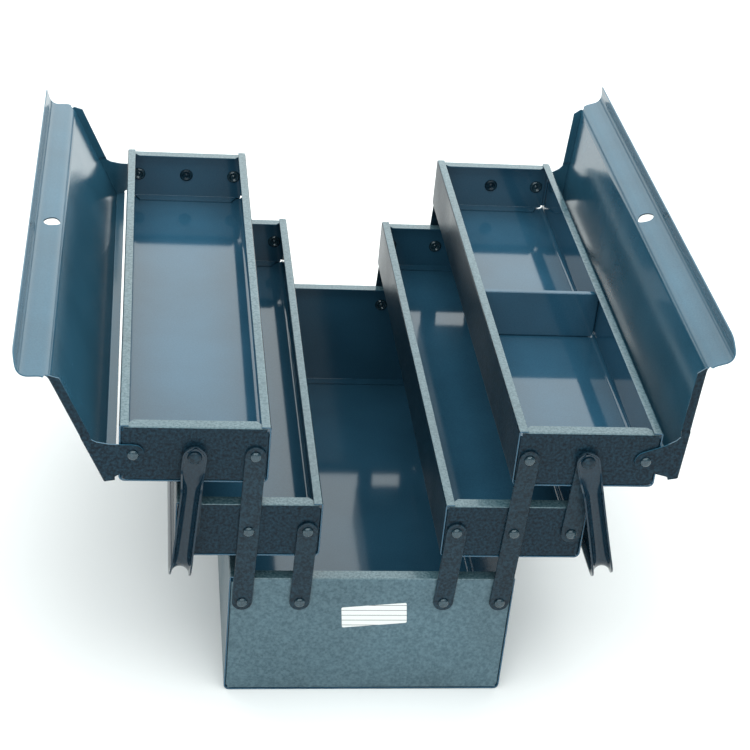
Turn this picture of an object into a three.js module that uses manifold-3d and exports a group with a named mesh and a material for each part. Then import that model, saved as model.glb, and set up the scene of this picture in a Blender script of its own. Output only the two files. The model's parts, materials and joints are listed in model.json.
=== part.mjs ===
// Cantilever toolbox: a base box with two stacked trays on each side, carried by parallel straps.
// The model stands open. X runs across the box, Y from front to rear, Z up. The origin is the
// middle of the base's underside. Lengths are millimetres and angles are degrees.
import * as THREE from 'three';
import { mergeVertices } from 'three/addons/utils/BufferGeometryUtils.js';
import Module from 'manifold-3d';

// Driving dimensions of the boxes.
const LENGTH = 420;
const BASE_WIDTH = 200;
const BASE_HEIGHT = 102;
const TRAY_WIDTH = 98.7;
const TRAY_HEIGHT = 44;
const SHEET = 1;
const GAP = 0.3;
const RIM = 6.3;
const CORNER_R = 4;
const RIM_BEND_R = 1.6;
const FLANGE = 8;

// Driving dimensions of the linkage. A tray's three pivots lie across its middle height.
const LINK = 61;
const PIVOT_PITCH = 40;
const BASE_PIVOT_X = 90.65;
const BASE_PIVOT_Z = 81.5;
const STRAP_WIDTH = 14;
const STRAP_THICK = 1.8;
const SHANK_R = 2.4;
const HOLE_R = 2.65;

// Each side's open angles: the straps' lean away from the middle, how far the lid has turned
// from closed, and how far the handle hangs outward from straight down.
const SIDES = [
  { name: 'left', sign: -1, lean: -1.6, lid: 100.5, handle: 4.3 },
  { name: 'right', sign: 1, lean: 2.65, lid: 79.5, handle: 14 },
];
const ENDS = [
  { name: 'front', sign: -1 },
  { name: 'rear', sign: 1 },
];

// Distances from the middle of the box along Y, where each layer at an end begins.
const END = LENGTH / 2;
const STRAP_Y = END + GAP;
const STRAP_OUT = STRAP_Y + STRAP_THICK;
const EAR_Y = END + 0.4;
const EAR_OUT = EAR_Y + 1.2;
const EYE_Y = STRAP_OUT + 0.5;
const EYE_OUT = EYE_Y + 1.2;
const ARM_Y = END + 5;

const wasm = await Module();
wasm.setup();
const rad = THREE.MathUtils.degToRad;

// ---- Finishes ----
const enamel = new THREE.MeshStandardMaterial({ color: 0x2e6073, roughness: 0.35, metalness: 0.4 });
const tray = new THREE.MeshStandardMaterial({ color: 0x376d80, roughness: 0.3, metalness: 0.4 });
const strap = new THREE.MeshStandardMaterial({ color: 0x8f979b, roughness: 0.35, metalness: 0.9 });
const rivet = new THREE.MeshStandardMaterial({ color: 0xa9aeb0, roughness: 0.3, metalness: 1 });

// ---- Outlines ----
const point = (x, y) => new THREE.Vector2(x, y);

// Points along an arc, both ends included.
function arc(x, y, radius, from, to, steps) {
  return Array.from({ length: steps + 1 }, (_, i) => {
    const angle = rad(from + ((to - from) * i) / steps);
    return point(x + radius * Math.cos(angle), y + radius * Math.sin(angle));
  });
}

const circle = (x, y, radius, steps = 12) => arc(x, y, radius, 0, 360, steps).slice(0, steps);

function outline(points, holes = []) {
  const shape = new THREE.Shape(points);
  shape.holes = holes.map((hole) => new THREE.Path(hole));
  return shape;
}

// ---- Prisms and turned shapes ----
const basis = {
  y: new THREE.Matrix4().makeBasis(
    new THREE.Vector3(1, 0, 0), new THREE.Vector3(0, 0, 1), new THREE.Vector3(0, -1, 0)),
  x: new THREE.Matrix4().makeBasis(
    new THREE.Vector3(0, 1, 0), new THREE.Vector3(0, 0, 1), new THREE.Vector3(1, 0, 0)),
};

const extrude = (shape, depth) => new THREE.ExtrudeGeometry(shape, { depth, bevelEnabled: false });

// An outline in X and Z, carried along Y between two places, in either order.
function prismY(shape, a, b) {
  return extrude(shape, Math.abs(b - a)).applyMatrix4(basis.y).translate(0, Math.max(a, b), 0);
}

// An outline in Y and Z, carried along X.
function prismX(shape, a, b) {
  return extrude(shape, Math.abs(b - a)).applyMatrix4(basis.x).translate(Math.min(a, b), 0, 0);
}

// An outline in X and Y, carried along Z.
function prismZ(shape, a, b) {
  return extrude(shape, Math.abs(b - a)).translate(0, 0, Math.min(a, b));
}

function block([x0, x1], [y0, y1], [z0, z1]) {
  return new THREE.BoxGeometry(Math.abs(x1 - x0), Math.abs(y1 - y0), Math.abs(z1 - z0))
    .translate((x0 + x1) / 2, (y0 + y1) / 2, (z0 + z1) / 2);
}

// A profile of radius and Y turned about the Y axis, with its faces made to point outwards.
function turned(profile, segments = 10) {
  const geometry = new THREE.LatheGeometry(profile, segments);
  const position = geometry.getAttribute('position');
  const index = geometry.getIndex();
  const corner = (i) => new THREE.Vector3().fromBufferAttribute(position, index.getX(i));
  let volume = 0;
  for (let i = 0; i < index.count; i += 3) {
    volume += corner(i).dot(corner(i + 1).cross(corner(i + 2)));
  }
  if (volume < 0) geometry.setIndex([...index.array].reverse());
  return geometry;
}

// ---- Joins and cuts ----
function solid(geometry) {
  const bare = geometry.clone();
  bare.deleteAttribute('normal');
  bare.deleteAttribute('uv');
  const merged = mergeVertices(bare, 1e-4);
  return new wasm.Manifold(new wasm.Mesh({
    numProp: 3,
    vertProperties: new Float32Array(merged.getAttribute('position').array),
    triVerts: new Uint32Array(merged.getIndex().array),
  }));
}

const join = (...geometries) => geometries.map(solid).reduce((whole, piece) => whole.add(piece));

function geometryOf(body) {
  const mesh = body.getMesh();
  const geometry = new THREE.BufferGeometry();
  geometry.setAttribute('position', new THREE.BufferAttribute(mesh.vertProperties, 3));
  geometry.setIndex(new THREE.BufferAttribute(mesh.triVerts, 1));
  return geometry;
}

// ---- Scene helpers ----
const toolbox = new THREE.Group();

function group(parent, x, z, turn = 0) {
  const place = new THREE.Group();
  place.position.set(x, 0, z);
  place.rotation.y = rad(turn);
  parent.add(place);
  return place;
}

function piece(parent, name, geometry, material) {
  const mesh = new THREE.Mesh(geometry, material);
  mesh.name = name;
  parent.add(mesh);
}

// ---- Boxes ----
// The bottom and two long sides, bent from one sheet, with rims turned in along the top.
function wrap(half, low, high) {
  const side = (sign) => {
    const mirrored = (points) => points.map((p) => point(sign * p.x, p.y));
    const outside = [
      ...arc(half - CORNER_R, low + CORNER_R, CORNER_R, -90, 0, 4),
      ...arc(half - RIM_BEND_R, high - RIM_BEND_R, RIM_BEND_R, 0, 90, 3),
      point(half - RIM, high),
    ];
    const inside = [
      point(half - RIM, high - SHEET),
      ...arc(half - RIM_BEND_R, high - RIM_BEND_R, RIM_BEND_R - SHEET, 90, 0, 3),
      ...arc(half - CORNER_R, low + CORNER_R, CORNER_R - SHEET, 0, -90, 4),
    ];
    return { outside: mirrored(outside), inside: mirrored(inside) };
  };
  const right = side(1);
  const left = side(-1);
  return prismY(outline([
    ...right.outside, ...right.inside,
    ...left.inside.reverse(), ...left.outside.reverse(),
  ]), -END, END);
}

// How far an end plate's flanges stop short of its corners, at their roots and at their tips.
const FOOT_TRIM = { root: 5, tip: 9 };
const SIDE_TRIM = { foot: 5, footTip: 8, top: 4, topTip: 13 };

// A flat end plate that sits inside the wrap, with flanges turned in along all four edges.
function endPanel(half, low, high, end, holes) {
  const edge = half - SHEET - GAP;
  const foot = low + SHEET + GAP;
  const top = high - SHEET - GAP;
  const cornerR = CORNER_R - SHEET - GAP;
  const root = end * (END - SHEET / 2);
  const tip = end * (END - SHEET - FLANGE);
  const plate = prismY(outline([
    ...arc(edge - cornerR, foot + cornerR, cornerR, -90, 0, 4),
    point(edge, top), point(-edge, top),
    ...arc(-edge + cornerR, foot + cornerR, cornerR, 180, 270, 4),
  ], holes.map(([x, z]) => circle(x, z, HOLE_R))), end * (END - SHEET), end * END);
  const topFlange = prismZ(outline([
    point(-edge, root), point(edge, root), point(edge, root - end), point(edge - FLANGE, tip),
    point(-edge + FLANGE, tip), point(-edge, root - end),
  ]), top - SHEET, top);
  const { root: low0, tip: low1 } = FOOT_TRIM;
  const bottomFlange = prismZ(outline([
    point(-edge + low0, root), point(edge - low0, root),
    point(edge - low1, tip), point(-edge + low1, tip),
  ]), foot, foot + SHEET);
  const sideFlange = (sign) => prismX(outline([
    point(root, foot + SIDE_TRIM.foot), point(tip, foot + SIDE_TRIM.footTip),
    point(tip, top - SIDE_TRIM.topTip), point(root, top - SIDE_TRIM.top),
  ]), sign * (edge - SHEET), sign * edge);
  return geometryOf(join(plate, topFlange, bottomFlange, sideFlange(-1), sideFlange(1)));
}

// A box of three pieces in its own frame.
function sheetBox(parent, name, half, low, high, holesAt, material) {
  piece(parent, `${name}_shell`, wrap(half, low, high), material);
  for (const end of ENDS) {
    piece(parent, `${name}_${end.name}_panel`, endPanel(half, low, high, end.sign, holesAt), material);
  }
}

// ---- Rivets ----
// Domed head outside, shank through the stack, and a flattened ring of a tail inside.
function rivetAt(parent, name, x, z, end, stackOut) {
  const tailIn = END - SHEET - GAP - 1.3;
  const headIn = stackOut + GAP;
  const profile = [
    point(0, tailIn), point(4.9, tailIn), point(5.5, tailIn + 1.3), point(SHANK_R, tailIn + 1.3),
    point(SHANK_R, headIn), point(3.75, headIn), point(2.9, headIn + 1.2), point(0, headIn + 1.9),
  ];
  const geometry = turned(profile.map((p) => point(p.x, end.sign * p.y)));
  piece(parent, `${name}_rivet_${end.name}`, geometry.translate(x, 0, z), rivet);
}

// ---- Straps ----
// A flat bar with round ends, standing up from its lower pivot, with a hole at each pivot.
function strapOutline(length, holes) {
  const r = STRAP_WIDTH / 2;
  return outline(
    [...arc(0, length, r, 0, 180, 8), ...arc(0, 0, r, 180, 360, 8)],
    holes.map((z) => circle(0, z, HOLE_R)),
  );
}

const strapPlate = (length, holes, end) =>
  prismY(strapOutline(length, holes), end.sign * STRAP_Y, end.sign * STRAP_OUT);

// The outer strap carries the stud that the handle turns on, fixed at its upper end.
function studStrap(end) {
  const headIn = EYE_OUT + GAP;
  const tailIn = END - SHEET - GAP - 1.2;
  const stud = turned([
    point(0, tailIn), point(5.3, tailIn), point(5.3, tailIn + 1.2), point(SHANK_R, tailIn + 1.2),
    point(SHANK_R, headIn), point(4.6, headIn), point(4.4, headIn + 0.9), point(3, headIn + 1.7),
    point(0, headIn + 2),
  ].map((p) => point(p.x, end.sign * p.y))).translate(0, 0, LINK);
  return geometryOf(join(strapPlate(LINK, [0], end), stud));
}

// ---- Lids ----
// Points of the lid's outside, from its skirt to its lip, measured inward and up from its rivet.
// Past the ridge the sheet rises steeply, turns over a round shoulder and ends in a level edge.
const SKIRT = 7.4;
const EAVE = point(-17.7, 22.4);
const RIDGE = point(68.3, 43.8);
const RISE = 11;
const RISE_ANGLE = 82;
const LIP_R = 8.4;
const LIP_END_ANGLE = 5;
const LIP_EDGE = 7;
const LIP_CORNER_R = 15;
const LIP_END = END + 2;
const PADLOCK_R = 6;
const PADLOCK_AT = 6.4;

// Ends of the joggle, where the end flange steps out to become the ear.
const JOGGLE = [17.5, 20];
const EAR_R = 7.5;
const END_FLANGE = 6.6;

// How far the plates at a lid's end reach into its roof, so that they join it.
const INTO = 0.4;

const along = (from, angle, distance) =>
  point(from.x + distance * Math.cos(rad(angle)), from.y + distance * Math.sin(rad(angle)));

function lidProfile() {
  const top = along(RIDGE, RISE_ANGLE, RISE);
  const centre = along(top, RISE_ANGLE - 90, LIP_R);
  const lip = (radius) => {
    const shoulder = arc(centre.x, centre.y, radius, 90 + RISE_ANGLE, 90 + LIP_END_ANGLE, 6);
    return [...shoulder, along(shoulder.at(-1), LIP_END_ANGLE, LIP_EDGE)];
  };
  const slope = Math.atan2(RIDGE.y - EAVE.y, RIDGE.x - EAVE.x);
  const roofIn = point(SHEET * Math.sin(slope), -SHEET * Math.cos(slope));
  const eaveIn = point(EAVE.x + SHEET, EAVE.y + roofIn.y + SHEET * Math.tan(slope));
  const half = (rad(RISE_ANGLE) - slope) / 2;
  const ridgeIn = point(
    RIDGE.x + roofIn.x + SHEET * Math.tan(half) * Math.cos(slope),
    RIDGE.y + roofIn.y + SHEET * Math.tan(half) * Math.sin(slope),
  );
  const outside = lip(LIP_R);
  const inside = lip(LIP_R - SHEET).reverse();
  return {
    tip: outside.at(-1),
    lip: [RIDGE, ...outside, ...inside, ridgeIn],
    whole: [
      point(EAVE.x, EAVE.y - SKIRT), EAVE, RIDGE, ...outside,
      ...inside, ridgeIn, eaveIn, point(EAVE.x + SHEET, EAVE.y - SKIRT),
    ],
  };
}

// A place along the roof's outside, some distance below it.
function underRoof(u, depth) {
  const slope = (RIDGE.y - EAVE.y) / (RIDGE.x - EAVE.x);
  return point(u, EAVE.y + (u - EAVE.x) * slope - depth);
}

// The ear runs from the roof down to the rivet, and lies outside the tray's end panel.
function earOutline() {
  const skirtFoot = EAVE.y - SKIRT;
  return [
    underRoof(EAVE.x, INTO), point(EAVE.x, skirtFoot), point(EAVE.x + 2.3, skirtFoot),
    point(-9.6, 2.9), ...arc(0, 0, EAR_R, 195, 350, 9),
    point(10.5, 13.7), point(13.5, 21.5), point(16, 24.6),
    underRoof(JOGGLE[1], END_FLANGE), underRoof(JOGGLE[1], INTO),
  ];
}

// The flange along the rest of the lid's end, from the joggle to the ridge.
const endFlangeOutline = () => [
  underRoof(JOGGLE[0], INTO), underRoof(JOGGLE[0], END_FLANGE), underRoof(RIDGE.x - 4, END_FLANGE),
  underRoof(RIDGE.x - 1, INTO),
];

// The short web that joins the ear's layer to the end flange's layer.
const joggleOutline = () => [
  underRoof(JOGGLE[0], INTO), underRoof(JOGGLE[0], END_FLANGE), underRoof(JOGGLE[1], END_FLANGE),
  underRoof(JOGGLE[1], INTO),
];

// The part of the roof over the ear's layer, with its piece of skirt.
const earRoofOutline = () => [
  EAVE, underRoof(JOGGLE[1], 0), underRoof(JOGGLE[1], SHEET),
  point(EAVE.x + SHEET, EAVE.y - SHEET), point(EAVE.x + SHEET, EAVE.y - SKIRT),
  point(EAVE.x, EAVE.y - SKIRT),
];

// Cutters set out square to a line that leaves the ridge: one rounds the lip's front corner, and
// one makes the padlock hole in the rise.
function lipCutters(tip, inward) {
  const chord = Math.atan2(tip.y - RIDGE.y, tip.x - RIDGE.x);
  const reach = Math.hypot(tip.x - RIDGE.x, tip.y - RIDGE.y);
  const straight = reach - LIP_CORNER_R;
  const beyond = 5;
  const corner = prismZ(outline([
    point(reach + beyond, -LIP_END - beyond), point(straight, -LIP_END - beyond),
    ...arc(straight, LIP_CORNER_R - LIP_END, LIP_CORNER_R, -90, 0, 8),
    point(reach + beyond, LIP_CORNER_R - LIP_END),
  ]), -20, 20).rotateY(-chord);
  const hole = prismZ(outline(circle(PADLOCK_AT, 0, PADLOCK_R, 20)), -6, 6)
    .rotateY(-rad(RISE_ANGLE));
  return [corner, hole].map((cutter) => {
    const body = solid(cutter.translate(RIDGE.x, 0, RIDGE.y));
    return inward > 0 ? body : body.mirror([1, 0, 0]);
  });
}

// The whole lid in its closed place, with its rivet at the origin.
function lid(inward) {
  const shape = (points, holes) => outline(points.map((p) => point(inward * p.x, p.y)), holes);
  const profile = lidProfile();
  const parts = [
    prismY(shape(profile.whole), -END, END), prismY(shape(profile.lip), -LIP_END, LIP_END),
  ];
  for (const { sign } of ENDS) {
    parts.push(
      prismY(shape(earRoofOutline()), sign * (END - SHEET / 2), sign * EAR_OUT),
      prismY(shape(earOutline(), [circle(0, 0, HOLE_R)]), sign * EAR_Y, sign * EAR_OUT),
      prismY(shape(endFlangeOutline()), sign * (END - SHEET), sign * END),
      prismY(shape(joggleOutline()), sign * (END - SHEET), sign * EAR_OUT),
    );
  }
  const cutters = lipCutters(profile.tip, inward);
  return geometryOf(cutters.reduce((body, cutter) => body.subtract(cutter), join(...parts)));
}

// ---- Handles ----
const GRIP_R = 7.4;
const GRIP_WALL = 1.2;
const GRIP_DROP = 92;
const GRIP_BEND_R = 17;
const EYE_R = 8;
const EYE_HOLE_R = HOLE_R + 0.2;

// Where the eye's flat plate ends, where it has cranked out to the channel, and where it stops
// inside the channel, all measured down from the pivot, and half its width at that last place.
const EYE_FLAT = 9;
const CRANK_END = 13.5;
const EYE_FOOT = 21;
const EYE_FOOT_HALF = 3.6;

// A chain of points whose bends keep a section square to the path.
class Route extends THREE.Curve {
  constructor(points) {
    super();
    this.points = points;
  }

  getPointAt(u) {
    return this.points[Math.round(u * (this.points.length - 1))].clone();
  }

  getTangentAt(u) {
    const last = this.points.length - 1;
    const i = Math.round(u * last);
    const before = i > 0 ? this.points[i].clone().sub(this.points[i - 1]).normalize() : null;
    const after = i < last ? this.points[i + 1].clone().sub(this.points[i]).normalize() : null;
    if (!before || !after) return before ?? after;
    return before.add(after).normalize();
  }
}

// A half-round channel bent into a wide U, open away from the pivots, with a flat eye at each end.
function handle() {
  const armY = ARM_Y + GRIP_R;
  const barZ = -GRIP_DROP - GRIP_R;
  const bendY = armY - GRIP_BEND_R;
  const bendZ = barZ + GRIP_BEND_R;
  const channelTop = -13;
  const path = [
    point(-armY, channelTop), ...arc(-bendY, bendZ, GRIP_BEND_R, 180, 270, 5),
    ...arc(bendY, bendZ, GRIP_BEND_R, 270, 360, 5), point(armY, channelTop),
  ];
  const route = new Route(path.map((p) => new THREE.Vector3(0, p.x, p.y)));
  const section = outline([
    ...arc(0, 0, GRIP_R, 90, 270, 8), ...arc(0, 0, GRIP_R - GRIP_WALL, 270, 90, 6),
  ]);
  const channel = new THREE.ExtrudeGeometry(section, { steps: path.length - 1, extrudePath: route });
  const armOut = ARM_Y + GRIP_WALL;
  const above = EYE_R + 1;
  const eyes = ENDS.map((end) => {
    const plan = prismY(outline([
      ...arc(0, 0, EYE_R, -20, 200, 10),
      point(-EYE_FOOT_HALF, 1 - EYE_FOOT), point(EYE_FOOT_HALF, 1 - EYE_FOOT),
    ], [circle(0, 0, EYE_HOLE_R)]), end.sign * (EYE_Y - 1), end.sign * (armOut + 1));
    const side = prismX(outline([
      [EYE_Y, above], [EYE_OUT, above], [EYE_OUT, -EYE_FLAT], [armOut, -CRANK_END],
      [armOut, -EYE_FOOT], [ARM_Y, -EYE_FOOT], [ARM_Y, -CRANK_END - 0.5], [EYE_Y, -EYE_FLAT - 0.5],
    ].map(([y, z]) => point(end.sign * y, z))), -above, above);
    return solid(plan).intersect(solid(side));
  });
  return geometryOf(eyes.reduce((body, eye) => body.add(eye), solid(channel)));
}

// ---- Divider ----
const DIVIDER_Y = -12;
const DIVIDER_BELOW_RIM = 4.5;
const DIVIDER_HEM = 4;

// A cross wall with turned edges that stands in a tray, a little lower than its rims.
function divider(half, low, high) {
  const edge = half - SHEET - GAP;
  const foot = low + SHEET + GAP;
  const top = high - DIVIDER_BELOW_RIM;
  const cornerR = CORNER_R - SHEET - GAP;
  const wall = prismY(outline([
    ...arc(edge - cornerR, foot + cornerR, cornerR, -90, 0, 4),
    point(edge, top), point(-edge, top),
    ...arc(-edge + cornerR, foot + cornerR, cornerR, 180, 270, 4),
  ]), DIVIDER_Y, DIVIDER_Y + SHEET);
  const deep = [DIVIDER_Y, DIVIDER_Y + FLANGE];
  const base = block([-edge + 6, edge - 6], deep, [foot, foot + SHEET]);
  const hem = block([-edge + 3, edge - 3], [DIVIDER_Y, DIVIDER_Y + DIVIDER_HEM], [top - SHEET, top]);
  const sides = [-1, 1].map((sign) => block(
    [sign * (edge - SHEET), sign * edge], deep, [foot + 4, top - 3]));
  return geometryOf(join(wall, base, hem, ...sides));
}

// ---- Assembly ----
const base = group(toolbox, 0, 0);
const basePivots = [-1, 1].flatMap((sign) => [BASE_PIVOT_X, BASE_PIVOT_X - PIVOT_PITCH]
  .map((x) => [sign * x, BASE_PIVOT_Z]));
sheetBox(base, 'base', BASE_WIDTH / 2, 0, BASE_HEIGHT, basePivots, enamel);

const trayPivots = [-PIVOT_PITCH, 0, PIVOT_PITCH].map((x) => [x, 0]);
const trayBox = (parent, name) =>
  sheetBox(parent, name, TRAY_WIDTH / 2, -TRAY_HEIGHT / 2, TRAY_HEIGHT / 2, trayPivots, tray);

for (const side of SIDES) {
  const out = side.sign;
  const turn = out * side.lean;
  const reachX = out * LINK * Math.sin(rad(side.lean));
  const reachZ = LINK * Math.cos(rad(side.lean));
  const outerX = out * BASE_PIVOT_X;
  const innerX = outerX - out * PIVOT_PITCH;
  const middle = group(toolbox, outerX + reachX, BASE_PIVOT_Z + reachZ);
  const upperX = outerX + 2 * reachX + out * PIVOT_PITCH;
  const upper = group(toolbox, upperX, BASE_PIVOT_Z + 2 * reachZ);

  trayBox(middle, `${side.name}_middle_tray`);
  trayBox(upper, `${side.name}_upper_tray`);
  if (side.name === 'right') {
    const wall = divider(TRAY_WIDTH / 2, -TRAY_HEIGHT / 2, TRAY_HEIGHT / 2);
    piece(upper, 'right_upper_tray_divider', wall, tray);
  }

  const long = group(toolbox, outerX, BASE_PIVOT_Z, turn);
  const inner = group(toolbox, innerX, BASE_PIVOT_Z, turn);
  const outer = group(middle, out * PIVOT_PITCH, 0, turn);
  for (const end of ENDS) {
    const longPlate = strapPlate(2 * LINK, [0, LINK, 2 * LINK], end);
    piece(long, `${side.name}_long_strap_${end.name}`, longPlate, strap);
    piece(inner, `${side.name}_inner_strap_${end.name}`, strapPlate(LINK, [0, LINK], end), strap);
    piece(outer, `${side.name}_outer_strap_${end.name}`, studStrap(end), strap);

    rivetAt(base, `${side.name}_base_outer`, outerX, BASE_PIVOT_Z, end, STRAP_OUT);
    rivetAt(base, `${side.name}_base_inner`, innerX, BASE_PIVOT_Z, end, STRAP_OUT);
    rivetAt(middle, `${side.name}_middle_outer`, out * PIVOT_PITCH, 0, end, STRAP_OUT);
    rivetAt(middle, `${side.name}_middle_centre`, 0, 0, end, STRAP_OUT);
    rivetAt(middle, `${side.name}_middle_inner`, -out * PIVOT_PITCH, 0, end, STRAP_OUT);
    rivetAt(upper, `${side.name}_upper_inner`, -out * PIVOT_PITCH, 0, end, STRAP_OUT);
    rivetAt(upper, `${side.name}_lid`, out * PIVOT_PITCH, 0, end, EAR_OUT);
  }

  const lidPlace = group(upper, out * PIVOT_PITCH, 0, out * side.lid);
  piece(lidPlace, `${side.name}_lid`, lid(-out), enamel);

  const handlePlace = group(upper, 0, 0, -out * side.handle);
  piece(handlePlace, `${side.name}_handle`, handle(), enamel);
}

export default toolbox;
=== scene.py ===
"""Looks of a cantilever toolbox: folded sheet-steel boxes in blue-green enamel.

Every piece is worked out in millimetres from the frame's own boxes and joints, and put into its
mesh in metres. The front end looks along -Y and the left side is at -X.
"""

import json
import logging
import math
from dataclasses import dataclass, field
from enum import Enum

import bmesh
import bpy
import numpy as np
from mathutils import Matrix, Vector


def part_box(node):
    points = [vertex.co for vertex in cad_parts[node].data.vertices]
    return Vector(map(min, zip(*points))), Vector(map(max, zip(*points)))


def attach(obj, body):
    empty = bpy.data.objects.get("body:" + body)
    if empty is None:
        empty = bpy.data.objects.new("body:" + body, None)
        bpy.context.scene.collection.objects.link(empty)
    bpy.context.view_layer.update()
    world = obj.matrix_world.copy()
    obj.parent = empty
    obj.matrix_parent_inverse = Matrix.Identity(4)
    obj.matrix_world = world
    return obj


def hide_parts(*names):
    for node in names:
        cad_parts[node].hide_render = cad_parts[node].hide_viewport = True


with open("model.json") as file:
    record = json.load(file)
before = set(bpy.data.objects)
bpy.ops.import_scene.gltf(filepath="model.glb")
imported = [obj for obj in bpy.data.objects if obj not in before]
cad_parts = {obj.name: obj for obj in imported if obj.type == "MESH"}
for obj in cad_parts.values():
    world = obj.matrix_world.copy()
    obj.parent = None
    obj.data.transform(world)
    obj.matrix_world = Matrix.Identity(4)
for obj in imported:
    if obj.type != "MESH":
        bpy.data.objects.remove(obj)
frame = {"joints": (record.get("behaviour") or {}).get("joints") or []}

MM = 0.001
LOG = logging.getLogger("toolbox")
JOINTS = {joint["name"]: joint for joint in frame["joints"]}


class Side(Enum):
    """One side of the toolbox; the value is its sign along X."""

    LEFT = -1
    RIGHT = 1

    @property
    def label(self) -> str:
        """The side's name as the frame spells it."""
        return self.name.lower()


class End(Enum):
    """One end of the toolbox; the value is its sign along Y."""

    FRONT = -1
    REAR = 1

    @property
    def label(self) -> str:
        """The end's name as the frame spells it."""
        return self.name.lower()


# ---------------------------------------------------------------------------------------------
# Reading the frame
# ---------------------------------------------------------------------------------------------

def box_mm(node: str) -> tuple[np.ndarray, np.ndarray]:
    """Reads a node's place.

    Args:
        node: the frame node's name.

    Returns:
        Its lowest and highest corners, in millimetres.
    """
    low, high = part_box(node)
    return np.array(low) / MM, np.array(high) / MM


def pivot_mm(joint: str) -> np.ndarray:
    """Reads where a joint's axis stands.

    Args:
        joint: the joint's name.

    Returns:
        Its X and Z, in millimetres.
    """
    x, _, z = JOINTS[joint]["pos_m"]
    return np.array([x, z]) / MM


# ---------------------------------------------------------------------------------------------
# Curves
# ---------------------------------------------------------------------------------------------

def arc(centre: tuple[float, float], radius: float, start: float, stop: float,
        steps: int) -> np.ndarray:
    """Points along a circle: centre plus radius times the cosine and sine of each angle.

    Args:
        centre: the circle's centre.
        radius: its radius.
        start: the first angle, in degrees.
        stop: the last angle, in degrees.
        steps: how many equal steps to take.

    Returns:
        An array of steps + 1 points.
    """
    angle = np.radians(np.linspace(start, stop, steps + 1))
    return np.stack([centre[0] + radius * np.cos(angle), centre[1] + radius * np.sin(angle)], 1)


def bent(corners: list[tuple[float, float]], radii: list[float], steps: int = 6,
         guard: float = 0.4) -> np.ndarray:
    """A line of sheet seen end on, with a round bend at each inner corner.

    Each bend is the circle that touches both of its straight runs, so it starts and stops
    radius times tan(half the turn) from the corner. A guard point stands just outside each
    bend, so that shading stays flat beside it.

    Args:
        corners: the sharp corners, ends included.
        radii: one bend radius for each inner corner.
        steps: steps round each bend.
        guard: distance from a bend to its guard points.

    Returns:
        The rounded line's points.
    """
    sharp = np.array(corners, float)
    run = [sharp[:1]]
    for corner, radius, before, after in zip(sharp[1:-1], radii, sharp[:-2], sharp[2:]):
        into = (corner - before) / np.linalg.norm(corner - before)
        out = (after - corner) / np.linalg.norm(after - corner)
        turn = math.atan2(into[0] * out[1] - into[1] * out[0], into @ out)
        reach = radius * math.tan(abs(turn) / 2)
        side = np.sign(turn) * np.array([-into[1], into[0]])
        centre = corner - into * reach + side * radius
        spoke = corner - into * reach - centre
        angles = np.linspace(0, turn, steps + 1)[:, None]
        swept = spoke * np.cos(angles) + np.array([-spoke[1], spoke[0]]) * np.sin(angles)
        run += [corner[None] - into * (reach + guard), centre + swept,
                corner[None] + out * (reach + guard)]
    return np.concatenate(run + [sharp[-1:]])


def length_along(line: np.ndarray) -> np.ndarray:
    """Distance along a line of points, from its first point to each point."""
    return np.concatenate([[0], np.cumsum(np.linalg.norm(np.diff(line, axis=0), axis=1))])


def rounded_corner(distance: np.ndarray, radius: float) -> np.ndarray:
    """How far an edge draws back beside a rounded corner.

    Args:
        distance: distance from the corner's end, at each point; it counts below radius.
        radius: the corner's radius.

    Returns:
        radius - sqrt(radius^2 - (radius - distance)^2), and 0 past the corner.
    """
    deep = np.clip(radius - distance, 0, radius)
    return radius - np.sqrt(radius**2 - deep**2)


# ---------------------------------------------------------------------------------------------
# Meshes
# ---------------------------------------------------------------------------------------------

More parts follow.
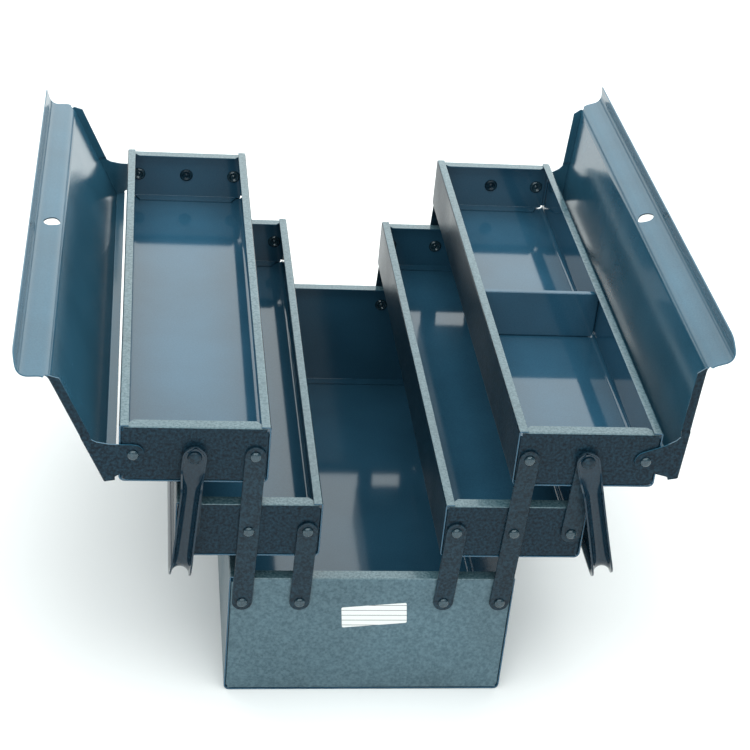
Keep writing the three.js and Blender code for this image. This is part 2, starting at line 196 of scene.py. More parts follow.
class Grids:
    """Gathers grids of points, in millimetres, into one mesh of quads."""

    def __init__(self) -> None:
        """Starts with nothing."""
        self.points: list[np.ndarray] = []
        self.faces: list[np.ndarray] = []
        self.finishes: list[np.ndarray] = []
        self.count = 0

    def add(self, grid: np.ndarray, flip: bool = False, loop: bool = False,
            finish: np.ndarray | int = 0) -> None:
        """Adds one grid.

        Args:
            grid: an array of rows by columns by 3.
            flip: turns the faces over, for a mirrored grid.
            loop: joins the last column back to the first.
            finish: the number of the finish, for the grid or for each strip between two rows.
        """
        rows, columns = grid.shape[:2]
        index = np.arange(rows * columns).reshape(rows, columns) + self.count
        if loop:
            index = np.concatenate([index, index[:, :1]], 1)
        quads = np.stack([index[:-1, :-1], index[1:, :-1], index[1:, 1:], index[:-1, 1:]], -1)
        strips = np.broadcast_to(np.reshape(finish, (-1, 1)), quads.shape[:2])
        self.finishes.append(strips.ravel())
        quads = quads.reshape(-1, 4)
        self.points.append(grid.reshape(-1, 3))
        self.faces.append(quads[:, ::-1] if flip else quads)
        self.count += rows * columns

    def build(self, name: str, closed: bool = False) -> bpy.types.Object:
        """Makes the object.

        Args:
            name: the piece's name.
            closed: says that the grids close on themselves, so doubled points are merged and
                the faces are turned outwards.

        Returns:
            The new object, smooth shaded.
        """
        mesh = bpy.data.meshes.new(name)
        points = np.concatenate(self.points) * MM
        faces = np.concatenate(self.faces)
        mesh.vertices.add(len(points))
        mesh.vertices.foreach_set("co", points.ravel())
        mesh.loops.add(faces.size)
        mesh.loops.foreach_set("vertex_index", faces.ravel().astype(np.int32))
        mesh.polygons.add(len(faces))
        mesh.polygons.foreach_set("loop_start", np.arange(0, faces.size, 4, dtype=np.int32))
        mesh.polygons.foreach_set("use_smooth", np.ones(len(faces), bool))
        finish = np.concatenate(self.finishes).astype(np.int32)
        mesh.polygons.foreach_set("material_index", finish)
        mesh.update(calc_edges=True)
        shape = bmesh.new()
        shape.from_mesh(mesh)
        bmesh.ops.remove_doubles(shape, verts=shape.verts, dist=1e-6)
        bmesh.ops.dissolve_degenerate(shape, edges=shape.edges, dist=1e-7)
        if closed:
            bmesh.ops.recalc_face_normals(shape, faces=shape.faces)
        shape.to_mesh(mesh)
        shape.free()
        piece = bpy.data.objects.new(name, mesh)
        bpy.context.scene.collection.objects.link(piece)
        return piece


def carried_along_y(profile: np.ndarray, ys: np.ndarray) -> np.ndarray:
    """A profile in X and Z carried along Y.

    Args:
        profile: the profile's points.
        ys: the places along Y, one row of them for each profile point, or one row for all.

    Returns:
        A grid of points.
    """
    ys = np.broadcast_to(ys, (len(profile), np.shape(ys)[-1]))
    grid = np.empty((*ys.shape, 3))
    grid[..., 0] = profile[:, :1]
    grid[..., 1] = ys
    grid[..., 2] = profile[:, 1:]
    return grid


def turned_about_y(profile: np.ndarray, centre: tuple[float, float],
                   segments: int = 32) -> np.ndarray:
    """A profile of radius and Y turned about an axis along Y.

    Args:
        profile: points of radius and Y, which start and end on the axis.
        centre: the axis's X and Z.
        segments: how many segments go round.

    Returns:
        A grid whose columns go round the axis, to be added with loop=True.
    """
    angle = np.linspace(0, 2 * np.pi, segments, endpoint=False)
    grid = np.empty((len(profile), segments, 3))
    grid[..., 0] = centre[0] + profile[:, :1] * np.cos(angle)
    grid[..., 1] = profile[:, 1:]
    grid[..., 2] = centre[1] + profile[:, :1] * np.sin(angle)
    return grid


def add_weighted_normals(piece: bpy.types.Object) -> None:
    """Keeps flat faces flat in the shading, beside round bends and edges."""
    normals = piece.modifiers.new("Flat faces", "WEIGHTED_NORMAL")
    normals.keep_sharp = True
    normals.weight = 80


def fold_sheet(piece: bpy.types.Object, thickness: float, edge: float = 0.22) -> None:
    """Gives a surface its sheet thickness, inwards, and breaks its sharp edges.

    Args:
        piece: the surface, which becomes the outside of the sheet.
        thickness: the sheet's thickness, in millimetres.
        edge: the width of the broken edge, in millimetres.
    """
    solid = piece.modifiers.new("Sheet", "SOLIDIFY")
    solid.thickness = thickness * MM
    solid.offset = -1
    solid.use_even_offset = True
    solid.material_offset = 1
    solid.material_offset_rim = 1
    break_edges(piece, edge)


def break_edges(piece: bpy.types.Object, edge: float) -> None:
    """Rounds a piece's sharp edges a little, by the given width in millimetres."""
    bevel = piece.modifiers.new("Broken edge", "BEVEL")
    bevel.width = edge * MM
    bevel.segments = 2
    bevel.limit_method = "ANGLE"
    bevel.angle_limit = math.radians(50)
    bevel.use_clamp_overlap = True
    add_weighted_normals(piece)


# ---------------------------------------------------------------------------------------------
# Finishes
# ---------------------------------------------------------------------------------------------

@dataclass(frozen=True)
class Enamel:
    """A blue-green stoving enamel over steel.

    The hammered kind has a mottled skin: a fine cell pattern lifts the surface and lightens its
    crests. The smooth kind has only a faint orange peel and very small flakes.
    """

    name: str
    deep: tuple[float, float, float]
    light: tuple[float, float, float]
    roughness: float
    metallic: float
    cell: float
    relief: float
    contrast: float
    coat: float
    shine: float

    def material(self) -> bpy.types.Material:
        """Builds the material's nodes.

        Returns:
            The material, which reads Object coordinates.
        """
        material = bpy.data.materials.new(self.name)
        material.use_nodes = True
        nodes = material.node_tree.nodes
        link = material.node_tree.links.new
        shader = nodes["Principled BSDF"]
        shader.inputs["Metallic"].default_value = self.metallic
        shader.inputs["Specular IOR Level"].default_value = self.shine
        shader.inputs["Coat Weight"].default_value = self.coat
        shader.inputs["Coat Roughness"].default_value = 0.06
        place = nodes.new("ShaderNodeTexCoord")
        cells = nodes.new("ShaderNodeTexNoise")
        cells.inputs["Scale"].default_value = 1 / (self.cell * MM)
        cells.inputs["Detail"].default_value = 2.5
        cells.inputs["Roughness"].default_value = 0.6
        link(place.outputs["Object"], cells.inputs["Vector"])
        drift = nodes.new("ShaderNodeTexNoise")
        drift.inputs["Scale"].default_value = 14
        drift.inputs["Detail"].default_value = 3
        link(place.outputs["Object"], drift.inputs["Vector"])
        mottle = nodes.new("ShaderNodeValToRGB")
        mottle.color_ramp.elements[0].position = 0.5 - self.contrast
        mottle.color_ramp.elements[0].color = (*self.deep, 1)
        mottle.color_ramp.elements[1].position = 0.5 + self.contrast
        mottle.color_ramp.elements[1].color = (*self.light, 1)
        link(cells.outputs["Fac"], mottle.inputs["Fac"])
        shade = nodes.new("ShaderNodeMapRange")
        shade.inputs["From Min"].default_value = 0.3
        shade.inputs["From Max"].default_value = 0.7
        shade.inputs["To Min"].default_value = 0.86
        shade.inputs["To Max"].default_value = 1.12
        link(drift.outputs["Fac"], shade.inputs["Value"])
        tint = nodes.new("ShaderNodeVectorMath")
        tint.operation = "SCALE"
        link(mottle.outputs["Color"], tint.inputs[0])
        link(shade.outputs["Result"], tint.inputs["Scale"])
        link(tint.outputs["Vector"], shader.inputs["Base Color"])
        rough = nodes.new("ShaderNodeMapRange")
        rough.inputs["From Min"].default_value = 0.35
        rough.inputs["From Max"].default_value = 0.65
        rough.inputs["To Min"].default_value = self.roughness * 0.85
        rough.inputs["To Max"].default_value = self.roughness * 1.15
        link(drift.outputs["Fac"], rough.inputs["Value"])
        link(rough.outputs["Result"], shader.inputs["Roughness"])
        bump = nodes.new("ShaderNodeBump")
        bump.inputs["Strength"].default_value = 1
        bump.inputs["Distance"].default_value = self.relief * MM
        link(cells.outputs["Fac"], bump.inputs["Height"])
        link(bump.outputs["Normal"], shader.inputs["Normal"])
        return material


HAMMERED = Enamel(
    name="hammered_enamel", deep=(0.002, 0.008, 0.015), light=(0.009, 0.03, 0.048),
    roughness=0.34, metallic=0.0, cell=2.1, relief=0.2, contrast=0.14, coat=0.0, shine=0.14)
# The same hammered enamel as the trays' outside, made much lighter for the base: painted reflection
# of the pale floor and the front light on the base's outside.
BASE_PAINTED_REFLECTION = Enamel(
    name="base_hammered_enamel", deep=(0.044, 0.09, 0.115), light=(0.086, 0.15, 0.183),
    roughness=0.34, metallic=0.0, cell=1.9, relief=0.16, contrast=0.14, coat=0.0, shine=0.35)
# Lighter enamel for the level tops of rims and flanges: a painted highlight, where the top light
# falls on them.
RIM_PAINTED_HIGHLIGHT = Enamel(
    name="rim_enamel", deep=(0.03, 0.075, 0.095), light=(0.08, 0.14, 0.165), roughness=0.2,
    metallic=0.1, cell=1.9, relief=0.06, contrast=0.14, coat=0.25, shine=0.5)
SMOOTH = Enamel(
    name="smooth_enamel", deep=(0.019, 0.07, 0.118), light=(0.025, 0.088, 0.146), roughness=0.08,
    metallic=0.0, cell=1.1, relief=0.004, contrast=0.2, coat=0.1, shine=0.45)
LID_INSIDE = Enamel(
    name="lid_inside_enamel", deep=(0.022, 0.086, 0.136), light=(0.03, 0.106, 0.166),
    roughness=0.17, metallic=0.0, cell=1.1, relief=0.004, contrast=0.2, coat=0.0, shine=0.42)
STRAP = Enamel(
    name="strap_enamel", deep=(0.002, 0.01, 0.018), light=(0.01, 0.032, 0.05), roughness=0.3,
    metallic=0.0, cell=1.9, relief=0.18, contrast=0.14, coat=0.0, shine=0.22)
RIVETED = Enamel(
    name="rivet_enamel", deep=(0.008, 0.028, 0.042), light=(0.02, 0.055, 0.075), roughness=0.16,
    metallic=0.2, cell=1.6, relief=0.03, contrast=0.2, coat=0.4, shine=0.5)
HANDLE = Enamel(
    name="handle_enamel", deep=(0.003, 0.013, 0.025), light=(0.008, 0.028, 0.046), roughness=0.14,
    metallic=0.0, cell=1.5, relief=0.02, contrast=0.2, coat=0.1, shine=0.3)


@dataclass(frozen=True)
class Paper:
    """The blank label's print: pale paper with ruled lines and no text."""

    name: str = "label_paper"
    ground: tuple[float, float, float] = (0.78, 0.8, 0.79)
    ink: tuple[float, float, float] = (0.02, 0.022, 0.025)
    line_pitch: float = 4.4
    line_share: float = 0.1

    def material(self, centre: np.ndarray) -> bpy.types.Material:
        """Builds the material's nodes.

        Args:
            centre: the label's middle, in millimetres.

        Returns:
            The material, which reads Object coordinates measured from the label's middle.
        """
        material = bpy.data.materials.new(self.name)
        material.use_nodes = True
        nodes = material.node_tree.nodes
        link = material.node_tree.links.new
        shader = nodes["Principled BSDF"]
        shader.inputs["Roughness"].default_value = 0.45
        place = nodes.new("ShaderNodeTexCoord")
        move = nodes.new("ShaderNodeMapping")
        move.inputs["Location"].default_value = Vector(-centre * MM)
        link(place.outputs["Object"], move.inputs["Vector"])
        split = nodes.new("ShaderNodeSeparateXYZ")
        link(move.outputs["Vector"], split.inputs["Vector"])
        wave = nodes.new("ShaderNodeMath")
        wave.operation = "PINGPONG"
        wave.inputs[1].default_value = self.line_pitch * MM / 2
        link(split.outputs["Z"], wave.inputs[0])
        ruled = nodes.new("ShaderNodeMath")
        ruled.operation = "LESS_THAN"
        ruled.inputs[1].default_value = self.line_share * self.line_pitch * MM / 2
        link(wave.outputs[0], ruled.inputs[0])
        fibre = nodes.new("ShaderNodeTexNoise")
        fibre.inputs["Scale"].default_value = 900
        link(place.outputs["Object"], fibre.inputs["Vector"])
        paper = nodes.new("ShaderNodeValToRGB")
        paper.color_ramp.elements[0].color = (*[0.93 * c for c in self.ground], 1)
        paper.color_ramp.elements[1].color = (*self.ground, 1)
        link(fibre.outputs["Fac"], paper.inputs["Fac"])
        mix = nodes.new("ShaderNodeMix")
        mix.data_type = "RGBA"
        mix.inputs["B"].default_value = (*self.ink, 1)
        link(ruled.outputs[0], mix.inputs["Factor"])
        link(paper.outputs["Color"], mix.inputs["A"])
        link(mix.outputs["Result"], shader.inputs["Base Color"])
        return material


def rim_strips(heights: np.ndarray, top: float) -> np.ndarray:
    """Numbers the strips of a bent sheet: 2 for those that lie level at the top, which take the rim
    enamel with its painted highlight, 0 elsewhere.

    Args:
        heights: the height of each row.
        top: the height of the rim.

    Returns:
        One finish number for each strip between two rows.
    """
    return np.where((heights[:-1] + heights[1:]) / 2 > top - 0.6, 2, 0)


class Finishes:
    """Makes each finish once and hands it out."""

    def __init__(self) -> None:
        """Starts with no materials."""
        self.made: dict[str, bpy.types.Material] = {}

    def of(self, enamel: Enamel) -> bpy.types.Material:
        """The enamel's material, made on first use."""
        if enamel.name not in self.made:
            self.made[enamel.name] = enamel.material()
        return self.made[enamel.name]

    def dress(self, piece: bpy.types.Object, *enamels: Enamel) -> None:
        """Gives a piece its finishes: the outside first, then the inside."""
        for enamel in enamels:
            piece.data.materials.append(self.of(enamel))


# ---------------------------------------------------------------------------------------------
# Boxes
# ---------------------------------------------------------------------------------------------

@dataclass
class SheetBox:
    """A box of one wrap and two end panels: the base, or a tray."""

    node: str
    body: str
    slot: str
    outside: Enamel
    sheet: float = 1.0
    rim: float = 6.3
    rim_bend: float = 1.6
    floor_bend: float = 4.0
    flange: float = 9.0
    panel_bend: float = 1.3
    notch: float = 3.0
    mitre_start: float = 2.2
    foot_step: float = 4.0
    foot_mitre: float = 0.6
    side_mitre_start: float = 1.5

    def wrap(self, finishes: Finishes) -> bpy.types.Object:
        """Builds the bottom and two long sides as one bent sheet with rims turned in.

        Returns:
            The piece.
        """
        low, high = box_mm(f"{self.node}_shell")
        profile = bent(
            [(high[0] - self.rim, high[2]), (high[0], high[2]), (high[0], low[2]),
             (low[0], low[2]), (low[0], high[2]), (low[0] + self.rim, high[2])],
            [self.rim_bend, self.floor_bend, self.floor_bend, self.rim_bend])
        grids = Grids()
        grids.add(carried_along_y(profile, np.linspace(low[1], high[1], 13)),
                  finish=rim_strips(profile[:, 1], high[2]))
        piece = grids.build(f"{self.node}_wrap")
        fold_sheet(piece, self.sheet)
        # Slot 2 is the rim enamel: a painted highlight on the level tops.
        finishes.dress(piece, self.outside, SMOOTH, RIM_PAINTED_HIGHLIGHT, SMOOTH)
        return self.settle(piece, f"{self.node}_shell")

    def panel(self, end: End, finishes: Finishes) -> bpy.types.Object:
        """Builds an end panel, pressed as a shallow pan with a flange on all four edges.

        The pan is one grid from the top flange's tip, down the plate, to the bottom flange's
        tip. Its half width follows the plate's edge, draws in by 45 degrees along the top
        flange, and by less along the bottom one. Each side flange is a grid of its own.

        Args:
            end: the end that it closes.

        Returns:
            The piece.
        """
        node = f"{self.node}_{end.label}_panel"
        low, high = box_mm(node)
        face = low[1] if end is End.FRONT else high[1]
        tip = face - end.value * self.flange
        middle, half = (low[0] + high[0]) / 2, (high[0] - low[0]) / 2
        profile = bent([(tip, high[2]), (face, high[2]), (face, low[2]), (tip, low[2])],
                       [self.panel_bend, self.panel_bend], steps=5)
        depth = np.abs(profile[:, 0] - face)
        upper = profile[:, 1] > (low[2] + high[2]) / 2
        chamfer = np.clip(depth - self.mitre_start, 0, None)
        pulled = np.where(upper, chamfer,
                          np.clip(depth, 0, 1) * self.foot_step + chamfer * self.foot_mitre)
        width = half - self.panel_bend - pulled
        across = np.linspace(-1, 1, 9)
        grid = np.empty((len(profile), len(across), 3))
        grid[..., 0] = middle + width[:, None] * across
        grid[..., 1] = profile[:, :1]
        grid[..., 2] = profile[:, 1:]
        grids = Grids()
        grids.add(grid, flip=end is End.REAR, finish=rim_strips(profile[:, 1], high[2]))
        for side in Side:
            self.side_flange(grids, end, side, middle, half, face, low[2], high[2])
        piece = grids.build(node.replace("panel", "pan"))
        fold_sheet(piece, self.sheet)
        # Slot 2 is the rim enamel: a painted highlight on the level top flange.
        finishes.dress(piece, self.outside, SMOOTH, RIM_PAINTED_HIGHLIGHT, SMOOTH)
        return self.settle(piece, node)

    def side_flange(self, grids: Grids, end: End, side: Side, middle: float, half: float,
                    face: float, foot: float, top: float) -> None:
        """Adds a panel's side flange: a bend in X and Y carried up Z.

        Args:
            grids: the panel's grids.
            end: the panel's end.
            side: the flange's side.
            middle: the panel's middle, along X.
            half: half the panel's width.
            face: the panel's outer face, along Y.
            foot: the panel's lowest Z.
            top: the panel's highest Z.
        """
        edge = middle + side.value * half
        start = edge - side.value * self.panel_bend
        line = bent([(start - side.value * 0.01, face), (edge, face),
                     (edge, face - end.value * (self.flange - 1))], [self.panel_bend - 0.02],
                    steps=5, guard=0.005)
        rise = np.linspace(0, 1, 5)
        slope = np.clip(np.abs(line[:, 1] - face) - self.side_mitre_start, 0, None)
        grid = np.empty((len(line), len(rise), 3))
        grid[..., 0] = line[:, :1]
        grid[..., 1] = line[:, 1:]
        z0 = foot + self.notch + slope * 0.5
        z1 = top - self.notch - slope
        grid[..., 2] = z0[:, None] + (z1 - z0)[:, None] * rise
        grids.add(grid, flip=(side.value * end.value) > 0)

    def settle(self, piece: bpy.types.Object, node: str) -> bpy.types.Object:
        """Ties a finished piece to its body and hides the node that it stands for."""
        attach(piece, self.body)
        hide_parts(node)
        return piece

    def build(self, finishes: Finishes) -> None:
        """Builds the wrap and both panels."""
        self.wrap(finishes)
        for end in End:
            self.panel(end, finishes)
        LOG.info("%s: wrap and end panels", self.node)


@dataclass
class Divider:
    """The cross wall in one tray, with its foot, hem and side flanges turned to the rear."""

    node: str
    body: str
    sheet: float = 1.0
    bend: float = 1.3
    hem_bend: float = 0.9
    foot: float = 8.0
    hem: float = 4.0
    mitre_depth: float = 1.5
    mitre_slope: float = 1.6
    flange_gap: tuple[float, float] = (4.0, 3.0)

    def build(self, finishes: Finishes) -> None:
        """Builds the wall as one profile in Y and Z carried across X, and two side flanges."""
        low, high = box_mm(self.node)
        profile = bent([(low[1] + self.hem, high[2]), (low[1], high[2]), (low[1], low[2]),
                        (low[1] + self.foot, low[2])], [self.hem_bend, self.bend], steps=5)
        middle, half = (low[0] + high[0]) / 2, (high[0] - low[0]) / 2
        depth = profile[:, 0] - low[1]
        width = half - self.bend - np.clip(depth, 0, self.mitre_depth) * self.mitre_slope
        across = np.linspace(-1, 1, 7)
        grid = np.empty((len(profile), len(across), 3))
        grid[..., 0] = middle + width[:, None] * across
        grid[..., 1] = profile[:, :1]
        grid[..., 2] = profile[:, 1:]
        grids = Grids()
        grids.add(grid)
        for side in Side:
            edge = middle + side.value * half
            line = bent([(edge - side.value * (self.bend + 0.01), low[1]), (edge, low[1]),
                         (edge, low[1] + self.foot)], [self.bend - 0.02], steps=5, guard=0.005)
            rise = np.linspace(low[2] + self.flange_gap[0], high[2] - self.flange_gap[1], 5)
            flange = np.empty((len(line), len(rise), 3))
            flange[..., 0] = line[:, :1]
            flange[..., 1] = line[:, 1:]
            flange[..., 2] = rise
            grids.add(flange, flip=side is Side.LEFT)
        piece = grids.build("right_upper_tray_cross_wall")
        fold_sheet(piece, self.sheet)
        finishes.dress(piece, SMOOTH, SMOOTH)
        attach(piece, self.body)
        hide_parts(self.node)
        LOG.info("divider")


# ---------------------------------------------------------------------------------------------
# Straps and rivets
# ---------------------------------------------------------------------------------------------

@dataclass
class StrapSet:
    """One side's straps of one kind, front and rear."""

    side: Side
    kind: str
    lower: np.ndarray
    upper: np.ndarray
    radius: float = 7.0
    edge: float = 0.45
    round_steps: int = 18
    stud: bool = False
    shank_radius: float = 2.4
    head_radius: float = 4.6
    head_brim: float = 0.1
    head_height: float = 1.7
    dome_height: float = 1.45
    dome_start: float = 12.0

    def plate(self, end: End) -> np.ndarray:
        """A flat bar with round ends, as rings about its centre line.

        A ring at distance d from the centre line runs round the lower pivot and then the upper
        one. The rings grow from the centre line to the edge on the front face, turn over the
        edge on a quarter circle each way, and shrink back on the rear face.

        Args:
            end: the end of the box that the strap is on.

        Returns:
            A grid whose columns go round the bar, to be added with loop=True.
        """
        low, high = box_mm(f"{self.side.label}_long_strap_{end.label}")
        near, far = low[1], high[1]
        edge = self.edge
        flat = self.radius - edge
        turn = np.radians(np.linspace(0, 90, 5))
        distance = np.concatenate([
            [0, flat * 0.6, flat - 0.3], flat + edge * np.sin(turn),
            (flat + edge * np.sin(turn))[::-1], [flat - 0.3, flat * 0.6, 0]])
        y = np.concatenate([
            [near] * 3, near + edge * (1 - np.cos(turn)),
            (far - edge * (1 - np.cos(turn)))[::-1], [far] * 3])
        along = (self.upper - self.lower) / np.linalg.norm(self.upper - self.lower)
        normal = np.array([-along[1], along[0]])
        angle = np.radians(np.linspace(0, 180, self.round_steps + 1))
        top = np.outer(np.sin(angle), along) - np.outer(np.cos(angle), normal)
        directions = np.concatenate([top, -top])
        centres = np.concatenate([np.tile(self.upper, (len(top), 1)),
                                  np.tile(self.lower, (len(top), 1))])
        grid = np.empty((len(distance), len(directions), 3))
        flat_points = centres[None] + distance[:, None, None] * directions[None]
        grid[..., 0] = flat_points[..., 0]
        grid[..., 1] = y[:, None]
        grid[..., 2] = flat_points[..., 1]
        return grid

    def stud_profile(self, end: End) -> np.ndarray:
        """The shared pivot's profile of radius and Y: ring tail, shank and round head."""
        low, high = box_mm(f"{self.side.label}_{self.kind}_strap_{end.label}")
        inner, outer = (high[1], low[1]) if end is End.FRONT else (low[1], high[1])
        out = end.value
        seat = outer - out * self.head_height
        turn = np.radians(np.linspace(self.dome_start, 90, 8))
        dome_y = outer - out * self.dome_height * (1 - np.sin(turn))
        return np.concatenate([
            ring_tail(inner, out),
            [[self.shank_radius, inner + out * TAIL_HEIGHT], [self.shank_radius, seat],
             [self.head_radius - self.head_brim, seat],
             [self.head_radius, outer - out * self.dome_height]],
            np.stack([self.head_radius * np.cos(turn), dome_y], 1)])

    def build(self, finishes: Finishes) -> None:
        """Builds the front and rear straps."""
        for end in End:
            name = f"{self.side.label}_{self.kind}_strap_{end.label}"
            grids = Grids()
            grids.add(self.plate(end), loop=True)
            if self.stud:
                grids.add(turned_about_y(self.stud_profile(end), tuple(self.upper)), loop=True)
            piece = grids.build(f"{self.side.label}_{self.kind}_bar_{end.label}", closed=True)
            add_weighted_normals(piece)
            finishes.dress(piece, STRAP)
            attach(piece, f"{self.side.label}_{self.kind}_straps")
            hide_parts(name)
        LOG.info("%s %s straps", self.side.label, self.kind)


TAIL_HEIGHT = 1.3
TAIL_RADII = (2.3, 5.5)
TAIL_CROWN = 1.05
TAIL_BUTTON = ((0, 0.35), (0.7, 0.4), (1.2, 0.75), (1.5, 1.15), (2.0, 1.2))


def ring_tail(inner: float, out: int) -> np.ndarray:
    """A rivet's spread tail, seen from inside a tray: a ring with a hollow and a small button.

    Args:
        inner: where the tail starts, along Y.
        out: the direction of the rivet's head along Y, 1 or -1.

    Returns:
        Points of radius and Y, from the axis to the shank.
    """
    angle = np.radians(np.linspace(-10, 190, 13))
    crown = np.clip(TAIL_CROWN - TAIL_CROWN * np.sin(angle), 0, TAIL_HEIGHT)
    ring = np.stack([np.linspace(*TAIL_RADII, 13), crown], 1)
    points = np.concatenate([TAIL_BUTTON, ring, [[TAIL_RADII[1] - 0.1, TAIL_HEIGHT]]])
    return np.stack([points[:, 0], inner + out * points[:, 1]], 1)


@dataclass
class Rivet:
    """One rivet: a domed head outside, a shank and a ring-shaped tail inside."""

    node: str
    body: str
    head_radius: float = 3.75
    shank_radius: float = 2.4
    head_height: float = 1.9
    brim: float = 0.35

    def build(self, end: End, finishes: Finishes) -> None:
        """Builds the rivet as one profile turned about Y.

        The head is a half ellipse on a short upright brim.

        Args:
            end: the end that it is on.
        """
        low, high = box_mm(self.node)
        inner, outer = (high[1], low[1]) if end is End.FRONT else (low[1], high[1])
        out = end.value
        seat = outer - out * self.head_height
        angle = np.radians(np.linspace(0, 90, 9))
        dome = np.stack([
            self.head_radius * np.cos(angle),
            seat + out * (self.brim + (self.head_height - self.brim) * np.sin(angle))], 1)
        profile = np.concatenate([
            ring_tail(inner, out), [[self.shank_radius, inner + out * TAIL_HEIGHT]],
            [[self.shank_radius, seat], [self.head_radius, seat]], dome])
        profile[-1, 0] = 0
        centre = ((low[0] + high[0]) / 2, (low[2] + high[2]) / 2)
        grids = Grids()
        grids.add(turned_about_y(profile, centre), loop=True)
        piece = grids.build(self.node.replace("_rivet_", "_pin_"), closed=True)
        add_weighted_normals(piece)
        finishes.dress(piece, RIVETED)
        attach(piece, self.body)
        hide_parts(self.node)


# ---------------------------------------------------------------------------------------------
# Lids
# ---------------------------------------------------------------------------------------------

@dataclass
class Lid:
    """One half of the lid, set out as it lies closed, inward and up from its rivet."""

    side: Side
    sheet: float = 1.0
    skirt: float = 7.4
    eave: tuple[float, float] = (-17.7, 22.4)
    ridge: tuple[float, float] = (68.3, 43.8)
    rise: float = 11.0
    rise_angle: float = 82.0
    lip_radius: float = 8.4
    lip_end_angle: float = 5.0
    lip_edge: float = 6.95
    corner: float = 15.0
    hole_radius: float = 6.0
    hole_at: float = 6.4
    end_bend: float = 1.4
    eave_bend: float = 1.6
    ridge_bend: float = 8.0
    joggle: tuple[float, float] = (17.5, 20.0)
    ear_radius: float = 7.5
    ear_step: float = 1.6
    ear_shoulder: float = -9.6
    ear_neck: tuple[float, float, float] = (10.5, 13.5, 16.0)
    flange: float = 6.6
    outline: np.ndarray = field(init=False)

    def __post_init__(self) -> None:
        """Works out where the lid turns and how far it stands open."""
        self.pivot = pivot_mm(f"{self.side.label}_lid_turn")
        self.open = math.radians(JOINTS[f"{self.side.label}_lid_turn"]["range_deg"][1])
        self.inward = -self.side.value
        self.lip_end = box_mm(f"{self.side.label}_lid")[1][1]
        self.panel_face = box_mm("base_shell")[1][1]
        self.ear_face = self.panel_face + self.ear_step
        self.outline = self.profile()

    def profile(self) -> np.ndarray:
        """The sheet's outside, end on: skirt, roof, rise, round shoulder and level edge."""
        rise, end = math.radians(self.rise_angle), math.radians(self.lip_end_angle)
        top = np.array(self.ridge) + self.rise * np.array([math.cos(rise), math.sin(rise)])
        centre = top + self.lip_radius * np.array([math.sin(rise), -math.cos(rise)])
        lip = arc(tuple(centre), self.lip_radius, 90 + self.rise_angle, 90 + self.lip_end_angle, 14)
        level = np.array([math.cos(end), math.sin(end)])
        edge = lip[-1] + np.linspace(0, self.lip_edge, 13)[1:, None] * level
        skirt_foot = (self.eave[0], self.eave[1] - self.skirt)
        folded = bent([skirt_foot, self.eave, self.ridge, tuple(top)],
                      [self.eave_bend, self.ridge_bend], steps=8)
        return np.concatenate([folded[:-1], lip, edge])

    def roof_height(self, u: np.ndarray) -> np.ndarray:
        """The roof's height at each distance u inward from the rivet."""
        slope = (self.ridge[1] - self.eave[1]) / (self.ridge[0] - self.eave[0])
        return self.eave[1] + (u - self.eave[0]) * slope

    def end_face(self, u: np.ndarray) -> np.ndarray:
        """The end flange's outer face along Y: the ear's layer, stepping in at the joggle."""
        t = np.clip((u - self.joggle[0]) / (self.joggle[1] - self.joggle[0]), 0, 1)
        return self.ear_face + (self.panel_face - self.ear_face) * (3 * t**2 - 2 * t**3)

    def ear_foot(self, u: np.ndarray) -> np.ndarray:
        """The end flange's lower edge: the ear's outline, its rounded foot, the even flange."""
        r = self.ear_radius
        start, stop = -r * math.cos(math.radians(15)), r * math.cos(math.radians(10))
        low_start, low_stop = -r * math.sin(math.radians(15)), -r * math.sin(math.radians(10))
        foot = -np.sqrt(np.clip(r**2 - u**2, 0, None))
        skirt_foot = self.eave[1] - self.skirt
        outer = np.interp(u, [self.eave[0], self.eave[0] + 2.3, self.ear_shoulder, start],
                          [skirt_foot, skirt_foot, 2.9, low_start])
        under = self.roof_height(np.array([18.5, self.ridge[0] - 4, self.ridge[0] - 1]))
        inner = np.interp(
            u, [stop, *self.ear_neck, 18.5, self.ridge[0] - 4, self.ridge[0] - 1],
            [low_stop, 13.7, 21.5, 24.6, *(under[:2] - self.flange), under[2] - self.end_bend])
        return np.where(u < start, outer, np.where(u > stop, inner, foot))

    def place(self, grid: np.ndarray) -> np.ndarray:
        """Turns a grid from the closed lid's frame to where the lid stands open.

        Args:
            grid: points of distance inward, Y and height from the rivet.

        Returns:
            The points in the toolbox's frame.
        """
        u, z = grid[..., 0], grid[..., 2]
        placed = grid.copy()
        cos, sin = math.cos(self.open), math.sin(self.open)
        placed[..., 0] = self.pivot[0] + self.inward * (u * cos - z * sin)
        placed[..., 2] = self.pivot[1] + u * sin + z * cos
        return placed

    def body_grid(self) -> np.ndarray:
        """The skirt, roof, rise and lip carried along Y, with the front corner rounded.

        The sheet stops one bend short of the end flanges along the roof, and runs past them
        along the rise and the lip.
        """
        line = self.outline
        along = length_along(line)
        on_roof = line[:, 0] <= self.ridge[0] - 0.8
        roof_end = self.end_face(line[:, 0]) - self.end_bend
        drawn_back = rounded_corner(along[-1] - along, self.corner)
        front = np.where(on_roof, roof_end, self.lip_end - drawn_back)
        rear = np.where(on_roof, roof_end, self.lip_end)
        across = (1 + np.sin(np.linspace(-1, 1, 25) * np.pi / 2)) / 2
        return carried_along_y(line, (front + rear)[:, None] * across - front[:, None])

